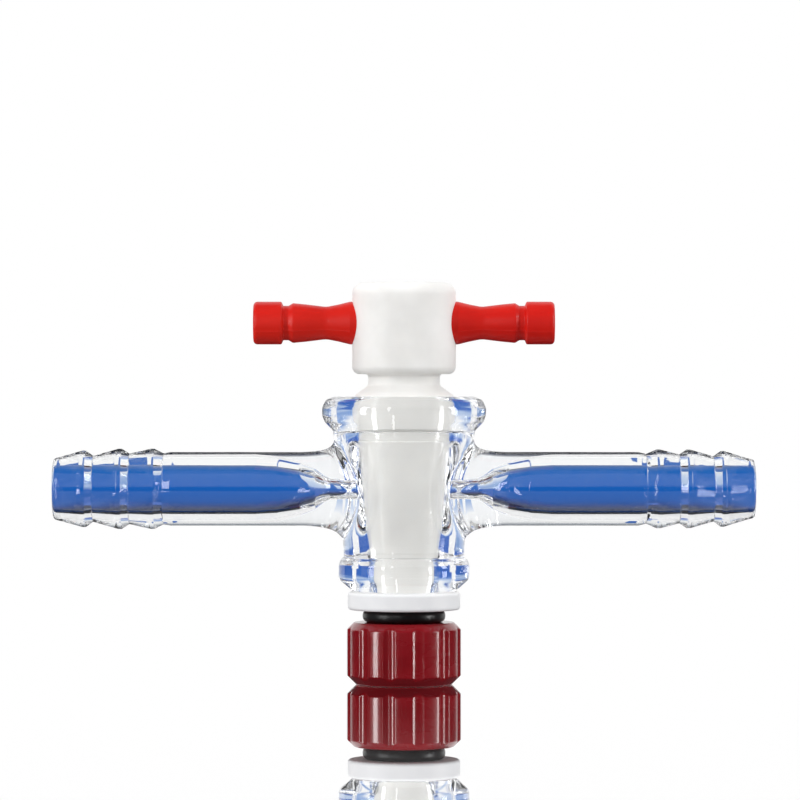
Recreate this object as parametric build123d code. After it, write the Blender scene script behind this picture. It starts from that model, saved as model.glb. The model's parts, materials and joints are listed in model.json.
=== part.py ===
from build123d import *
from math import cos, pi, radians, sin
import os

os.makedirs("parts", exist_ok=True)

# Sizes in millimetres. The plug's axis is Z, the arms lie along X, and the nut's foot is z = 0.

# Nut
NUT_R = 7.7
NUT_TOP_Z = 8.4
NUT_TOP_CHAMFER = 0.95
NUT_FOOT_CHAMFER = 1.25
NUT_MOUTH_CHAMFER = 0.4
FLUTES = 12
FLUTE_R = 1.5
FLUTE_DEPTH = 0.32

# O-ring, slightly squashed between the washer and the nut
RING_GAP = 0.02
RING_BOTTOM_Z = NUT_TOP_Z + RING_GAP
RING_HEIGHT = 1.68
RING_OUTER_R = 5.6
RING_ROUND = 0.72

# Washer, keyed to the flats of the tail
WASHER_R = 7.6
WASHER_BOTTOM_Z = RING_BOTTOM_Z + RING_HEIGHT
WASHER_THICK = 2.4
WASHER_TOP_Z = WASHER_BOTTOM_Z + WASHER_THICK
WASHER_ROUND = 0.4
KEY_CLEARANCE = 0.06

# Threaded tail of the plug. The fine thread itself is cut in the visual model.
TAIL_R = 3.8
TAIL_FLAT = 3.3
TAIL_END_Z = 1.5
TAIL_CHAMFER = 0.5
THREAD_CLEARANCE = 0.05

# 1:5 taper, shared by the plug and the bore of the glass
TAPER_TOP_Z = 33.0
TAPER_TOP_R = 6.2
TAPER_BOTTOM_Z = 17.0
TAPER_RATE = 0.1
TAPER_BOTTOM_R = TAPER_TOP_R - TAPER_RATE * (TAPER_TOP_Z - TAPER_BOTTOM_Z)
TAPER_GAP = 0.03
STUB_R = TAPER_BOTTOM_R - 0.5

# Plug above the taper
GROOVE_R = TAPER_TOP_R - 0.15
COLLAR_R = 7.0
COLLAR_BOTTOM_Z = 35.35
COLLAR_STEP_R = TAPER_TOP_R + 0.05
COLLAR_STEP_Z = COLLAR_BOTTOM_Z - (COLLAR_R - COLLAR_STEP_R)
COLLAR_TOP_Z = 38.6
SHOULDER_R = 6.64
SHOULDER_Z = 39.05
NECK_R = 4.85
NECK_BOTTOM_Z = 40.4
HEAD_R = 7.0
HEAD_BOTTOM_Z = 41.9
HEAD_TOP_Z = 54.3
HEAD_TOP_ROUND = 1.5
HEAD_BOTTOM_ROUND = 1.9

# Flow passage
ARM_Z = 26.4
PORT_R = 1.0

# Handle bar through the head
HANDLE_Z = 48.8
HANDLE_R = 2.89
HANDLE_GAP = 0.02
FLARE_X = 7.9
NARROW_X = 8.9
NARROW_R = 2.5
WAIST_X = 10.5
WAIST_R = 2.19
SWELL_X = 13.3
SWELL_R = 2.53
SWELL_END_X = 15.0
SWELL_END_R = 2.69
NICK_X = 15.6
NICK_END_X = 16.3
NICK_R = 2.33
CAP_X = 16.55
HANDLE_HALF = 20.35
CAP_ROUND = 0.5

# Barrel of the glass
BARREL_BOTTOM_Z = WASHER_TOP_Z + 0.1
BARREL_TOP_Z = 38.93
BARREL_LOW_Z = 17.2
BARREL_LOW_R = 8.2
BARREL_HIGH_Z = 34.4
BARREL_HIGH_R = 9.6
FOOT_R = 7.0
FOOT_SLOPE_Z = 14.2
LOW_BEAD_R = 8.88
UPPER_BEAD_R = 11.1
UPPER_BEAD_BOTTOM_Z = 34.3
UPPER_BEAD_ROUND = 2.2
MOUTH_R = COLLAR_R + 0.1
MOUTH_STEP_Z = COLLAR_BOTTOM_Z - 0.25
MOUTH_ROUND = 0.35
RELIEF_R = TAPER_BOTTOM_R + 0.25

# Arms of the glass
TUBE_R = 5.0
TUBE_BORE_R = 3.2
WELD_R = 2.2
ARM_END_X = 47.4
RIM_ROUND = 0.5
RIM_INNER_ROUND = 0.2
# Distances along the arm at which the bore narrows towards the port, with the bore's radius
FUNNEL = [(20.0, 3.2), (17.0, 2.9), (14.0, 2.3), (11.0, 1.5), (9.5, PORT_R)]
# Each barb: where its steep face starts, where its crest is, and the crest's radius
LEFT_BARBS = [(32.5, 33.7, 5.45), (37.1, 38.1, 5.45), (42.0, 42.95, 5.2)]
RIGHT_BARBS = [(32.7, 34.1, 5.35), (37.2, 38.15, 5.35), (41.8, 42.75, 5.15)]
LEFT_VALLEYS = [4.85, 4.8, 4.5]
RIGHT_VALLEYS = [4.75, 4.7, 4.45]
LEFT_TIP_R = 4.4
RIGHT_TIP_R = 4.2
TIP_X = 46.3
CREST_LAND = 0.5


def rounded(points, rounds):
    """A face with straight sides through the points, each named corner given its radius."""
    outline = make_face(Polyline(*points, close=True))
    for corner, radius in rounds:
        nearest = outline.vertices().sort_by_distance(corner)[0]
        outline = fillet(nearest, radius)
    return outline


def turned(points, rounds=()):
    """Turn an outline of (radius, height) about the plug's axis."""
    return revolve(Plane.XZ * rounded(points, rounds), Axis.Z)


def taper_r(z):
    """Radius of the plug's taper at a height."""
    return TAPER_TOP_R - TAPER_RATE * (TAPER_TOP_Z - z)


def barrel_outside():
    """Slightly tapered barrel with a bead at each end."""
    body = turned([
        (0, BARREL_LOW_Z - 1),
        (BARREL_LOW_R, BARREL_LOW_Z - 1),
        (BARREL_LOW_R, BARREL_LOW_Z + 1),
        (BARREL_HIGH_R, BARREL_HIGH_Z),
        (BARREL_HIGH_R, BARREL_HIGH_Z + 1),
        (0, BARREL_HIGH_Z + 1),
    ])
    low_bead = turned(
        [
            (0, BARREL_BOTTOM_Z),
            (FOOT_R, BARREL_BOTTOM_Z),
            (LOW_BEAD_R, FOOT_SLOPE_Z),
            (LOW_BEAD_R, BARREL_LOW_Z + 0.1),
            (0, BARREL_LOW_Z + 0.1),
        ],
        [
            ((FOOT_R, BARREL_BOTTOM_Z), 0.3),
            ((LOW_BEAD_R, FOOT_SLOPE_Z), 1.0),
            ((LOW_BEAD_R, BARREL_LOW_Z + 0.1), 1.4),
        ],
    )
    high_bead = turned(
        [
            (0, UPPER_BEAD_BOTTOM_Z),
            (UPPER_BEAD_R, UPPER_BEAD_BOTTOM_Z),
            (UPPER_BEAD_R, BARREL_TOP_Z),
            (0, BARREL_TOP_Z),
        ],
        [
            ((UPPER_BEAD_R, UPPER_BEAD_BOTTOM_Z), UPPER_BEAD_ROUND),
            ((UPPER_BEAD_R, BARREL_TOP_Z), UPPER_BEAD_ROUND),
        ],
    )
    return body, low_bead, high_bead


def arm_outline(barbs, valleys, tip_r):
    """Half outline of an arm's outside as (distance along the arm, radius)."""
    points = [(0, 0), (0, TUBE_R), (barbs[0][0] - 1.0, TUBE_R)]
    for (start, crest, radius), valley in zip(barbs, valleys):
        points.append((start, valley))
        points.append((crest, radius))
        points.append((crest + CREST_LAND, radius))
    points.append((TIP_X, tip_r))
    points.append((ARM_END_X, tip_r - 0.25))
    points.append((ARM_END_X, 0))
    return points


def arm_outside(direction, barbs, valleys, tip_r):
    """One arm's outside, turned about X, with its barbs and fire-polished end."""
    points = arm_outline(barbs, valleys, tip_r)
    outline = rounded(points, [((ARM_END_X, tip_r - 0.25), RIM_ROUND)])
    arm = revolve(outline, Axis.X)
    if direction < 0:
        arm = mirror(arm, Plane.YZ)
    return Pos(0, 0, ARM_Z) * arm


def arm_bore(direction):
    """Bore of one arm: wide in the tube, narrowing in a smooth ogive to the port."""
    ends = Vector(1, 0), Vector(1, 0)
    ogive = Spline(*reversed(FUNNEL), tangents=ends)
    start = FUNNEL[-1]
    wide = FUNNEL[0]
    sides = Polyline(
        (wide[0], wide[1]),
        (ARM_END_X + 1, TUBE_BORE_R),
        (ARM_END_X + 1, 0),
        (1.0, 0),
        (1.0, PORT_R),
        (start[0], start[1]),
    )
    bore = revolve(make_face([ogive, sides]), Axis.X)
    if direction < 0:
        bore = mirror(bore, Plane.YZ)
    return Pos(0, 0, ARM_Z) * bore


def barrel_bore():
    """Tapered bore with a wider mouth for the collar and a short relief at the foot."""
    bore_gap_r = taper_r(MOUTH_STEP_Z) + TAPER_GAP
    step = MOUTH_R - bore_gap_r
    relief_top_z = TAPER_BOTTOM_Z - 0.02
    return turned(
        [
            (0, BARREL_BOTTOM_Z - 1),
            (RELIEF_R, BARREL_BOTTOM_Z - 1),
            (RELIEF_R, relief_top_z),
            (taper_r(relief_top_z) + TAPER_GAP, relief_top_z),
            (taper_r(MOUTH_STEP_Z - step) + TAPER_GAP, MOUTH_STEP_Z - step),
            (MOUTH_R, MOUTH_STEP_Z),
            (MOUTH_R, BARREL_TOP_Z + 1),
            (0, BARREL_TOP_Z + 1),
        ],
        [((MOUTH_R, MOUTH_STEP_Z), MOUTH_ROUND)],
    )


def glass_body():
    """Barrel, beads and two hose arms fused into one glass piece, bored through."""
    barrel, low_bead, high_bead = barrel_outside()
    left = arm_outside(-1, LEFT_BARBS, LEFT_VALLEYS, LEFT_TIP_R)
    right = arm_outside(1, RIGHT_BARBS, RIGHT_VALLEYS, RIGHT_TIP_R)
    shell = barrel + left + right
    welds = [
        edge
        for edge in shell.edges()
        if abs(edge.center().Z - ARM_Z) < 3
        and BARREL_LOW_R - 3 < abs(edge.center().X) < BARREL_HIGH_R
        and edge.bounding_box().size.Z > TUBE_R
    ]
    shell = fillet(welds, WELD_R)
    shell = shell + low_bead + high_bead
    body = shell - barrel_bore() - arm_bore(-1) - arm_bore(1)
    rims = [
        edge
        for edge in body.edges()
        if abs(abs(edge.center().X) - ARM_END_X) < 0.01 and abs(edge.length - 2 * pi * TUBE_BORE_R) < 0.1
    ]
    body = fillet(rims, RIM_INNER_ROUND)
    mouth = [
        edge
        for edge in body.edges()
        if abs(edge.center().Z - BARREL_TOP_Z) < 0.01 and abs(edge.length - 2 * pi * MOUTH_R) < 0.1
    ]
    return fillet(mouth, MOUTH_ROUND)


def plug():
    """Turned key: head, neck, cone, collar, groove, taper, stub and tail with two flats."""
    stem = turned(
        [
            (0, TAIL_END_Z),
            (TAIL_R - TAIL_CHAMFER, TAIL_END_Z),
            (TAIL_R, TAIL_END_Z + TAIL_CHAMFER),
            (TAIL_R, WASHER_TOP_Z + 0.3),
            (STUB_R, WASHER_TOP_Z + 0.6),
            (STUB_R, TAPER_BOTTOM_Z),
            (taper_r(TAPER_BOTTOM_Z), TAPER_BOTTOM_Z),
            (TAPER_TOP_R, TAPER_TOP_Z),
            (GROOVE_R, TAPER_TOP_Z),
            (GROOVE_R, COLLAR_STEP_Z),
            (COLLAR_STEP_R, COLLAR_STEP_Z),
            (COLLAR_R, COLLAR_BOTTOM_Z),
            (COLLAR_R, COLLAR_TOP_Z),
            (SHOULDER_R, SHOULDER_Z),
            (NECK_R, NECK_BOTTOM_Z),
            (NECK_R, HEAD_BOTTOM_Z),
            (HEAD_R, HEAD_BOTTOM_Z),
            (HEAD_R, HEAD_TOP_Z),
            (0, HEAD_TOP_Z),
        ],
        [
            ((HEAD_R, HEAD_BOTTOM_Z), HEAD_BOTTOM_ROUND),
            ((HEAD_R, HEAD_TOP_Z), HEAD_TOP_ROUND),
        ],
    )
    passage = Pos(0, 0, ARM_Z) * Rot(0, 90, 0) * Cylinder(PORT_R, 4 * TAPER_TOP_R)
    cross_hole = Pos(0, 0, HANDLE_Z) * Rot(0, 90, 0) * Cylinder(HANDLE_R + HANDLE_GAP, 4 * HEAD_R)
    stem = stem - passage - cross_hole
    tail_length = WASHER_TOP_Z + 0.3 - TAIL_END_Z
    for side in (-1, 1):
        flat = Box(4 * TAIL_R, TAIL_R, tail_length)
        stem -= Pos(0, side * (TAIL_FLAT + TAIL_R / 2), TAIL_END_Z + tail_length / 2) * flat
    return stem


def handle_bar():
    """Waisted bar with a nick and a cap at each end."""
    half = [
        (FLARE_X, HANDLE_R),
        (NARROW_X, NARROW_R),
        (WAIST_X, WAIST_R),
        (SWELL_X, SWELL_R),
        (SWELL_END_X, SWELL_END_R),
        (NICK_X, NICK_R),
        (NICK_END_X, NICK_R),
        (CAP_X, HANDLE_R),
        (HANDLE_HALF, HANDLE_R),
    ]
    points = [(-HANDLE_HALF, 0)]
    points += [(-x, r) for x, r in reversed(half)]
    points += half
    points += [(HANDLE_HALF, 0)]
    rounds = []
    for side in (-1, 1):
        rounds.append(((side * HANDLE_HALF, HANDLE_R), CAP_ROUND))
        rounds.append(((side * WAIST_X, WAIST_R), 2.5))
        rounds.append(((side * SWELL_END_X, SWELL_END_R), 0.3))
        rounds.append(((side * CAP_X, HANDLE_R), 0.15))
    return Pos(0, 0, HANDLE_Z) * revolve(rounded(points, rounds), Axis.X)


def washer():
    """Flat ring with rounded rims and a hole keyed to the tail."""
    ring = turned(
        [(0, WASHER_BOTTOM_Z), (WASHER_R, WASHER_BOTTOM_Z), (WASHER_R, WASHER_TOP_Z), (0, WASHER_TOP_Z)],
        [
            ((WASHER_R, WASHER_BOTTOM_Z), WASHER_ROUND),
            ((WASHER_R, WASHER_TOP_Z), WASHER_ROUND),
        ],
    )
    middle_z = (WASHER_BOTTOM_Z + WASHER_TOP_Z) / 2
    hole = Cylinder(TAIL_R + KEY_CLEARANCE, 2 * WASHER_THICK)
    hole &= Box(4 * TAIL_R, 2 * (TAIL_FLAT + KEY_CLEARANCE), 2 * WASHER_THICK)
    return ring - Pos(0, 0, middle_z) * hole


def o_ring():
    """Rubber ring with flats where it is squashed."""
    inner_r = TAIL_R + THREAD_CLEARANCE
    top_z = RING_BOTTOM_Z + RING_HEIGHT
    corners = [(inner_r, RING_BOTTOM_Z), (RING_OUTER_R, RING_BOTTOM_Z), (RING_OUTER_R, top_z), (inner_r, top_z)]
    return turned(corners, [(corner, RING_ROUND) for corner in corners])


def nut():
    """Fluted nut with chamfered rims and a through bore for the threaded tail."""
    bore_r = TAIL_R + THREAD_CLEARANCE
    blank = turned([
        (bore_r, NUT_MOUTH_CHAMFER),
        (bore_r + NUT_MOUTH_CHAMFER, 0),
        (NUT_R - NUT_FOOT_CHAMFER, 0),
        (NUT_R, NUT_FOOT_CHAMFER),
        (NUT_R, NUT_TOP_Z - NUT_TOP_CHAMFER),
        (NUT_R - NUT_TOP_CHAMFER, NUT_TOP_Z),
        (bore_r + NUT_MOUTH_CHAMFER, NUT_TOP_Z),
        (bore_r, NUT_TOP_Z - NUT_MOUTH_CHAMFER),
    ])
    centre_r = NUT_R + FLUTE_R - FLUTE_DEPTH
    for index in range(FLUTES):
        angle = radians(360 / FLUTES * (index + 0.5))
        place = Pos(centre_r * cos(angle), centre_r * sin(angle), NUT_TOP_Z / 2)
        blank -= place * Cylinder(FLUTE_R, 2 * NUT_TOP_Z)
    return blank


export_step(glass_body(), "parts/glass_body.step")
export_step(plug(), "parts/plug.step")
export_step(handle_bar(), "parts/handle_bar.step")
export_step(washer(), "parts/washer.step")
export_step(o_ring(), "parts/o_ring.step")
export_step(nut(), "parts/nut.step")
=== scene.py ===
import json
import math

import bmesh
import bpy
from mathutils import Matrix, Vector, noise

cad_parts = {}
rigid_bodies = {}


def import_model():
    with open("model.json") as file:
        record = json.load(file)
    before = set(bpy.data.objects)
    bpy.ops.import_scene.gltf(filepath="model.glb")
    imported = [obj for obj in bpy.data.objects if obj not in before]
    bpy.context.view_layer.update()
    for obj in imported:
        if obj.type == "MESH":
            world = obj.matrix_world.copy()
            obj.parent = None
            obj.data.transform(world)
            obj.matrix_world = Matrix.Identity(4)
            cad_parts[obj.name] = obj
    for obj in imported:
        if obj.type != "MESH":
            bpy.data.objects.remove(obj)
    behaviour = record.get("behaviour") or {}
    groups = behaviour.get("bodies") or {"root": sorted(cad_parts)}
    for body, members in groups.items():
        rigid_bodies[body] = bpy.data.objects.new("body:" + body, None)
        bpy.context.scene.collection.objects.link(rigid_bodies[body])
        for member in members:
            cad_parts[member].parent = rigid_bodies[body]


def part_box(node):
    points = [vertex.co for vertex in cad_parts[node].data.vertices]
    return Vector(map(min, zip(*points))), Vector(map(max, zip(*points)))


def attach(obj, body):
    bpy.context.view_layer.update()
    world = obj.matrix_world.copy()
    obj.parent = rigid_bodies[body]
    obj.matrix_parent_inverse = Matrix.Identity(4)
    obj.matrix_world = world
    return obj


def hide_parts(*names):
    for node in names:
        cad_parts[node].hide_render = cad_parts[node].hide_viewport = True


bl_info = {
    "name": "Glass stopcock",
    "version": (1, 0, 0),
    "blender": (4, 5, 0),
    "location": "View3D > Sidebar > Stopcock",
    "description": "Builds a glass stopcock with a white key, a red handle and a fluted nut",
    "category": "Object",
}

for leftover in list(bpy.data.objects):
    bpy.data.objects.remove(leftover)

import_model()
bpy.context.view_layer.update()


MM = 0.001
FULL_TURN = 2 * math.pi

# The bore's axis is Z and the arms lie along X. Bare lengths are in millimetres here and below.
ARM_Z = 26.4
HANDLE_Z = 48.8
TAPER_GAP = 0.03
GLASS_STEPS = 64
WELD_HALF_STEPS = 8
PORT_HALF_STEPS = 2
PORT_REACH = 1.1
# Heights between which the wall is eased round a weld, and how far in from the wall that reaches.
WELD_LOW, WELD_HIGH, WELD_SKIN = 17.9, 33.6, 0.35

# Distance along the arm, radius, rounding of the corner.
LEFT_BARBS = [
    (31.5, 5.0, 0.6), (32.5, 4.85, 0.12), (33.7, 5.45, 0.14), (34.2, 5.45, 0.16),
    (37.1, 4.8, 0.12), (38.1, 5.45, 0.14), (38.6, 5.45, 0.16),
    (42.0, 4.5, 0.12), (42.95, 5.2, 0.14), (43.45, 5.2, 0.16), (46.3, 4.4, 0.4),
    (47.4, 4.15, 0.5),
]
RIGHT_BARBS = [
    (31.7, 5.0, 0.6), (32.7, 4.75, 0.12), (34.1, 5.35, 0.14), (34.6, 5.35, 0.16),
    (37.2, 4.7, 0.12), (38.15, 5.35, 0.14), (38.65, 5.35, 0.16),
    (41.8, 4.45, 0.12), (42.75, 5.15, 0.14), (43.25, 5.15, 0.16), (46.3, 4.2, 0.4),
    (47.4, 3.95, 0.5),
]
ARM_BORE = [
    (47.4, 3.2, 0.2), (20.0, 3.2, 4.0), (17.0, 3.0, 3.0), (14.0, 2.5, 3.0), (12.0, 1.95, 2.0),
    (10.6, 1.3, 1.0), (9.7, 1.0, 0.8), (6.6, 1.0, 0),
]
# How the flare runs from the weld to the tube: share of the way, distance along the arm, radius.
FLARE = [
    (0.16, 9.5, 6.5), (0.36, 9.9, 6.02), (0.6, 10.6, 5.55), (0.82, 11.5, 5.22), (1.0, 12.6, 5.04),
    (1.0, 13.8, 5.0),
]


def taper_r(z):
    """Radius of the 1:5 taper at a height."""
    return 6.2 - 0.1 * (33.0 - z)


def wall_r(z):
    """Radius of the barrel's wall at a height."""
    return 8.2 + 1.4 * max(z - 18.2, 0) / 16.2


# ---------------------------------------------------------------- mesh helpers


def outline(bm, corners, closed=False, margin=0.07, segments=4):
    """A wire of (radius, height, rounding) corners in the XZ plane, each rounded by a vertex bevel."""
    points = [Vector((radius, 0, height)) for radius, height, _ in corners]
    verts = [bm.verts.new(point * MM) for point in points]
    count = len(points)
    for index in range(count if closed else count - 1):
        bm.edges.new((verts[index], verts[(index + 1) % count]))
    for index, (_, _, rounding) in enumerate(corners):
        if not rounding or (not closed and index in (0, count - 1)):
            continue
        before = points[index] - points[index - 1]
        after = points[(index + 1) % count] - points[index]
        turn = before.angle(after)
        offset = rounding * math.tan(turn / 2)
        offset = min(offset, 0.47 * before.length, 0.47 * after.length)
        bmesh.ops.bevel(
            bm, geom=[verts[index]], offset=offset * MM, offset_type="OFFSET", affect="VERTICES",
            segments=segments, profile=0.5, material=-1,
        )
    if margin:
        for edge in list(bm.edges):
            length = edge.calc_length() / MM
            if length > 5 * margin:
                first, last = edge.verts
                bmesh.utils.edge_split(edge, first, margin / length)
                rest = next(
                    e for e in last.link_edges
                    if e.other_vert(last) != first and e.calc_length() / MM > length - 1.5 * margin
                )
                bmesh.utils.edge_split(rest, last, margin / (length - margin))
    return bm


def wire(points):
    """A bmesh with an open wire through the points."""
    bm = bmesh.new()
    verts = [bm.verts.new(point) for point in points]
    for pair in zip(verts, verts[1:]):
        bm.edges.new(pair)
    return bm


def spin(bm, angle, steps, axis=(0, 0, 1), climb=0.0, merge=False):
    """Turns the bmesh's wire round an axis through the origin, climbing at each step."""
    bmesh.ops.spin(
        bm, geom=bm.verts[:] + bm.edges[:], cent=(0, 0, 0), axis=axis, dvec=(0, 0, climb),
        angle=angle, steps=steps, use_merge=merge,
    )


def spun(bm, steps):
    """The bmesh's wire turned once round Z into a closed skin."""
    spin(bm, FULL_TURN, steps, merge=True)
    bmesh.ops.remove_doubles(bm, verts=bm.verts[:], dist=1e-7)
    bmesh.ops.recalc_face_normals(bm, faces=bm.faces[:])
    return bm


def turned(corners, steps=96, closed=False, margin=0.07, segments=4):
    """A turned solid from its half outline."""
    bm = bmesh.new()
    outline(bm, corners, closed, margin, segments)
    return spun(bm, steps)


def lay_along_x(bm, direction, height):
    """Turns a shape made round Z so that its axis lies along X at a height."""
    turn = Matrix.Rotation(direction * math.pi / 2, 4, "Y")
    move = Matrix.Translation((0, 0, height * MM))
    bmesh.ops.transform(bm, matrix=move @ turn, verts=bm.verts[:])


def trim(bm, spot, normal, outer=True):
    """Cuts a closed solid by a plane, drops the side the normal points to, or the other, and closes it."""
    cut = bmesh.ops.bisect_plane(
        bm, geom=bm.verts[:] + bm.edges[:] + bm.faces[:], plane_co=spot, plane_no=normal,
        clear_outer=outer, clear_inner=not outer,
    )
    rim = [g for g in cut["geom_cut"] if isinstance(g, bmesh.types.BMEdge)]
    bmesh.ops.edgeloop_fill(bm, edges=rim)


def new_object(name, bm):
    """The bmesh as a linked, smooth shaded object."""
    mesh = bpy.data.meshes.new(name)
    bm.to_mesh(mesh)
    bm.free()
    for polygon in mesh.polygons:
        polygon.use_smooth = True
    obj = bpy.data.objects.new(name, mesh)
    bpy.context.scene.collection.objects.link(obj)
    return obj


def bake_cuts(obj, cuts):
    """Applies boolean cuts and joins, given as (operation, bmesh), and drops the tools."""
    for operation, tool_bm in cuts:
        tool = new_object(obj.name + "_tool", tool_bm)
        modifier = obj.modifiers.new(operation.lower(), "BOOLEAN")
        modifier.operation = operation
        modifier.solver = "EXACT"
        modifier.object = tool
        depsgraph = bpy.context.evaluated_depsgraph_get()
        cut = bpy.data.meshes.new_from_object(obj.evaluated_get(depsgraph))
        obj.modifiers.clear()
        obj.data = cut
        bpy.data.objects.remove(tool)
    bm = bmesh.new()
    bm.from_mesh(obj.data)
    bmesh.ops.remove_doubles(bm, verts=bm.verts[:], dist=2e-6)
    bmesh.ops.recalc_face_normals(bm, faces=bm.faces[:])
    bm.to_mesh(obj.data)
    bm.free()
    return obj


def mark_creases(obj, degrees=32):
    """Shades smooth but for edges sharper than the angle."""
    bm = bmesh.new()
    bm.from_mesh(obj.data)
    for edge in bm.edges:
        if len(edge.link_faces) == 2:
            edge.smooth = edge.calc_face_angle() < math.radians(degrees)
    for face in bm.faces:
        face.smooth = True
    bm.to_mesh(obj.data)
    bm.free()


def check_closed(bm, name):
    """Stops the script when a skin has a hole or a stray face."""
    bad = [edge for edge in bm.edges if len(edge.link_faces) != 2]
    if bad:
        spot = bad[0].verts[0].co / MM
        raise RuntimeError(f"{name}: {len(bad)} edges aren't shared by two faces, first near {spot}")


def subdivide(obj, levels=1):
    """A live Subdivision Surface, the same in the view and the render."""
    modifier = obj.modifiers.new("subdivision", "SUBSURF")
    modifier.levels = modifier.render_levels = levels
    return obj


def place(obj, body, node, material):
    """Gives a finished piece its material, body, CAD node and slot."""
    obj.data.materials.clear()
    obj.data.materials.append(material)
    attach(obj, body)
    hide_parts(node)
    return obj


# ---------------------------------------------------------------- node helpers


def linear(red, green, blue):
    """A linear colour from 0-255 display values."""
    channels = []
    for value in (red, green, blue):
        value /= 255
        channels.append(value / 12.92 if value <= 0.04045 else ((value + 0.055) / 1.055) ** 2.4)
    return (*channels, 1.0)


class Nodes:
    """Short hand for building a material's nodes."""

    def __init__(self, owner):
        owner.use_nodes = True
        self.tree = owner.node_tree
        self.tree.nodes.clear()

    def add(self, kind, inputs=None, **settings):
        node = self.tree.nodes.new(kind)
        for key, value in settings.items():
            setattr(node, key, value)
        for key, value in (inputs or {}).items():
            if isinstance(value, bpy.types.NodeSocket):
                self.tree.links.new(value, node.inputs[key])
            else:
                node.inputs[key].default_value = value
        return node

    def math(self, operation, first, second=0.0, clamp=False):
        node = self.add("ShaderNodeMath", {0: first, 1: second}, operation=operation)
        node.use_clamp = clamp
        return node.outputs[0]

    def spread(self, value, low, high, to_low=0.0, to_high=1.0, interpolation="LINEAR"):
        node = self.add(
            "ShaderNodeMapRange",
            {"Value": value, "From Min": low, "From Max": high, "To Min": to_low, "To Max": to_high},
            interpolation_type=interpolation,
        )
        return node.outputs["Result"]

    def ramp(self, value, stops):
        node = self.add("ShaderNodeValToRGB", {0: value})
        elements = node.color_ramp.elements
        while len(elements) < len(stops):
            elements.new(0.5)
        for element, (position, colour) in zip(elements, stops):
            element.position = position
            element.color = colour
        return node.outputs["Color"]

    def mix(self, factor, first, second, blend="MIX"):
        node = self.add("ShaderNodeMix", data_type="RGBA", blend_type=blend)
        for socket, value in ((0, factor), (6, first), (7, second)):
            if isinstance(value, bpy.types.NodeSocket):
                self.tree.links.new(value, node.inputs[socket])
            else:
                node.inputs[socket].default_value = value
        return node.outputs[2]

    def coords(self, scale=(1, 1, 1), rotation=(0, 0, 0)):
        source = self.add("ShaderNodeTexCoord")
        mapping = self.add("ShaderNodeMapping", {"Vector": source.outputs["Object"]})
        mapping.inputs["Scale"].default_value = scale
        mapping.inputs["Rotation"].default_value = rotation
        return mapping.outputs["Vector"]

    def noise(self, vector, scale, detail=2.0, roughness=0.5):
        values = {"Vector": vector, "Scale": scale, "Detail": detail, "Roughness": roughness}
        node = self.add("ShaderNodeTexNoise", values)
        return node.outputs["Fac"]

    def bump(self, height, strength, distance, under=None):
        node = self.add("ShaderNodeBump", {"Height": height, "Strength": strength, "Distance": distance})
        if under is not None:
            self.tree.links.new(under, node.inputs["Normal"])
        return node.outputs["Normal"]

    def finish(self, shader, kind="ShaderNodeOutputMaterial"):
        output = self.tree.nodes.new(kind)
        self.tree.links.new(shader, output.inputs["Surface"])


# The darker share of each cloudy colour.
KEY_SHADE = linear(236, 235, 233)
WASHER_SHADE = linear(240, 241, 244)
RUBBER_SHADE = (0.004, 0.004, 0.0045, 1)
FLOOR_SHADE = linear(244, 244, 245)


def clear_glass(finishes):
    """Clear fire-polished glass with faint drawn waviness."""
    material = bpy.data.materials.new("clear_borosilicate")
    n = Nodes(material)
    waves = n.noise(n.coords((14, 150, 150)), 1.0, 2.0)
    ripple = n.noise(n.coords((260, 260, 160)), 1.0, 1.0)
    normal = n.bump(waves, 0.12, 0.0004)
    normal = n.bump(ripple, 0.05, 0.0002, normal)
    smears = n.spread(n.noise(n.coords((90, 90, 90)), 1.0, 4.0, 0.6), 0.62, 0.8, 0.009, 0.02)
    glass = n.add(
        "ShaderNodeBsdfPrincipled",
        {
            "Base Color": (0.985, 0.993, 0.995, 1),
            "Roughness": smears,
            "IOR": finishes.glass_ior,
            "Transmission Weight": 1.0,
            "Normal": normal,
        },
    )
    path = n.add("ShaderNodeLightPath")
    lighting = n.math("MAXIMUM", path.outputs["Is Shadow Ray"], path.outputs["Is Diffuse Ray"])
    through = n.add("ShaderNodeBsdfTransparent", {"Color": (0.985, 0.985, 0.98, 1)})
    mixed = n.add("ShaderNodeMixShader", {0: lighting, 1: glass.outputs[0], 2: through.outputs[0]})
    n.finish(mixed.outputs[0])
    return material


def white_key(finishes):
    """Waxy white fluoropolymer with fine turning rings."""
    material = bpy.data.materials.new("white_turned_key")
    n = Nodes(material)
    cloud = n.noise(n.coords((120, 120, 120)), 1.0, 3.0)
    colour = n.mix(n.spread(cloud, 0.35, 0.7), KEY_SHADE, tuple(finishes.key_white))
    rings = n.add(
        "ShaderNodeTexWave",
        {"Vector": n.coords((1, 1, 1)), "Scale": 900.0, "Distortion": 0.25, "Detail": 2.0, "Detail Scale": 2.0},
        wave_type="BANDS",
        bands_direction="Z",
        wave_profile="SIN",
    )
    grain = n.noise(n.coords((700, 700, 700)), 1.0, 3.0)
    normal = n.bump(rings.outputs["Fac"], 0.07, 0.00003)
    normal = n.bump(grain, 0.08, 0.00004, normal)
    rough = n.spread(cloud, 0.3, 0.7, 0.38, 0.52)
    key = n.add(
        "ShaderNodeBsdfPrincipled",
        {
            "Base Color": colour,
            "Roughness": rough,
            "IOR": 1.38,
            "Subsurface Weight": 0.35,
            "Subsurface Radius": (1.0, 0.95, 0.9),
            "Subsurface Scale": 0.0012,
            "Normal": normal,
        },
    )
    n.finish(key.outputs[0])
    return material


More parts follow.
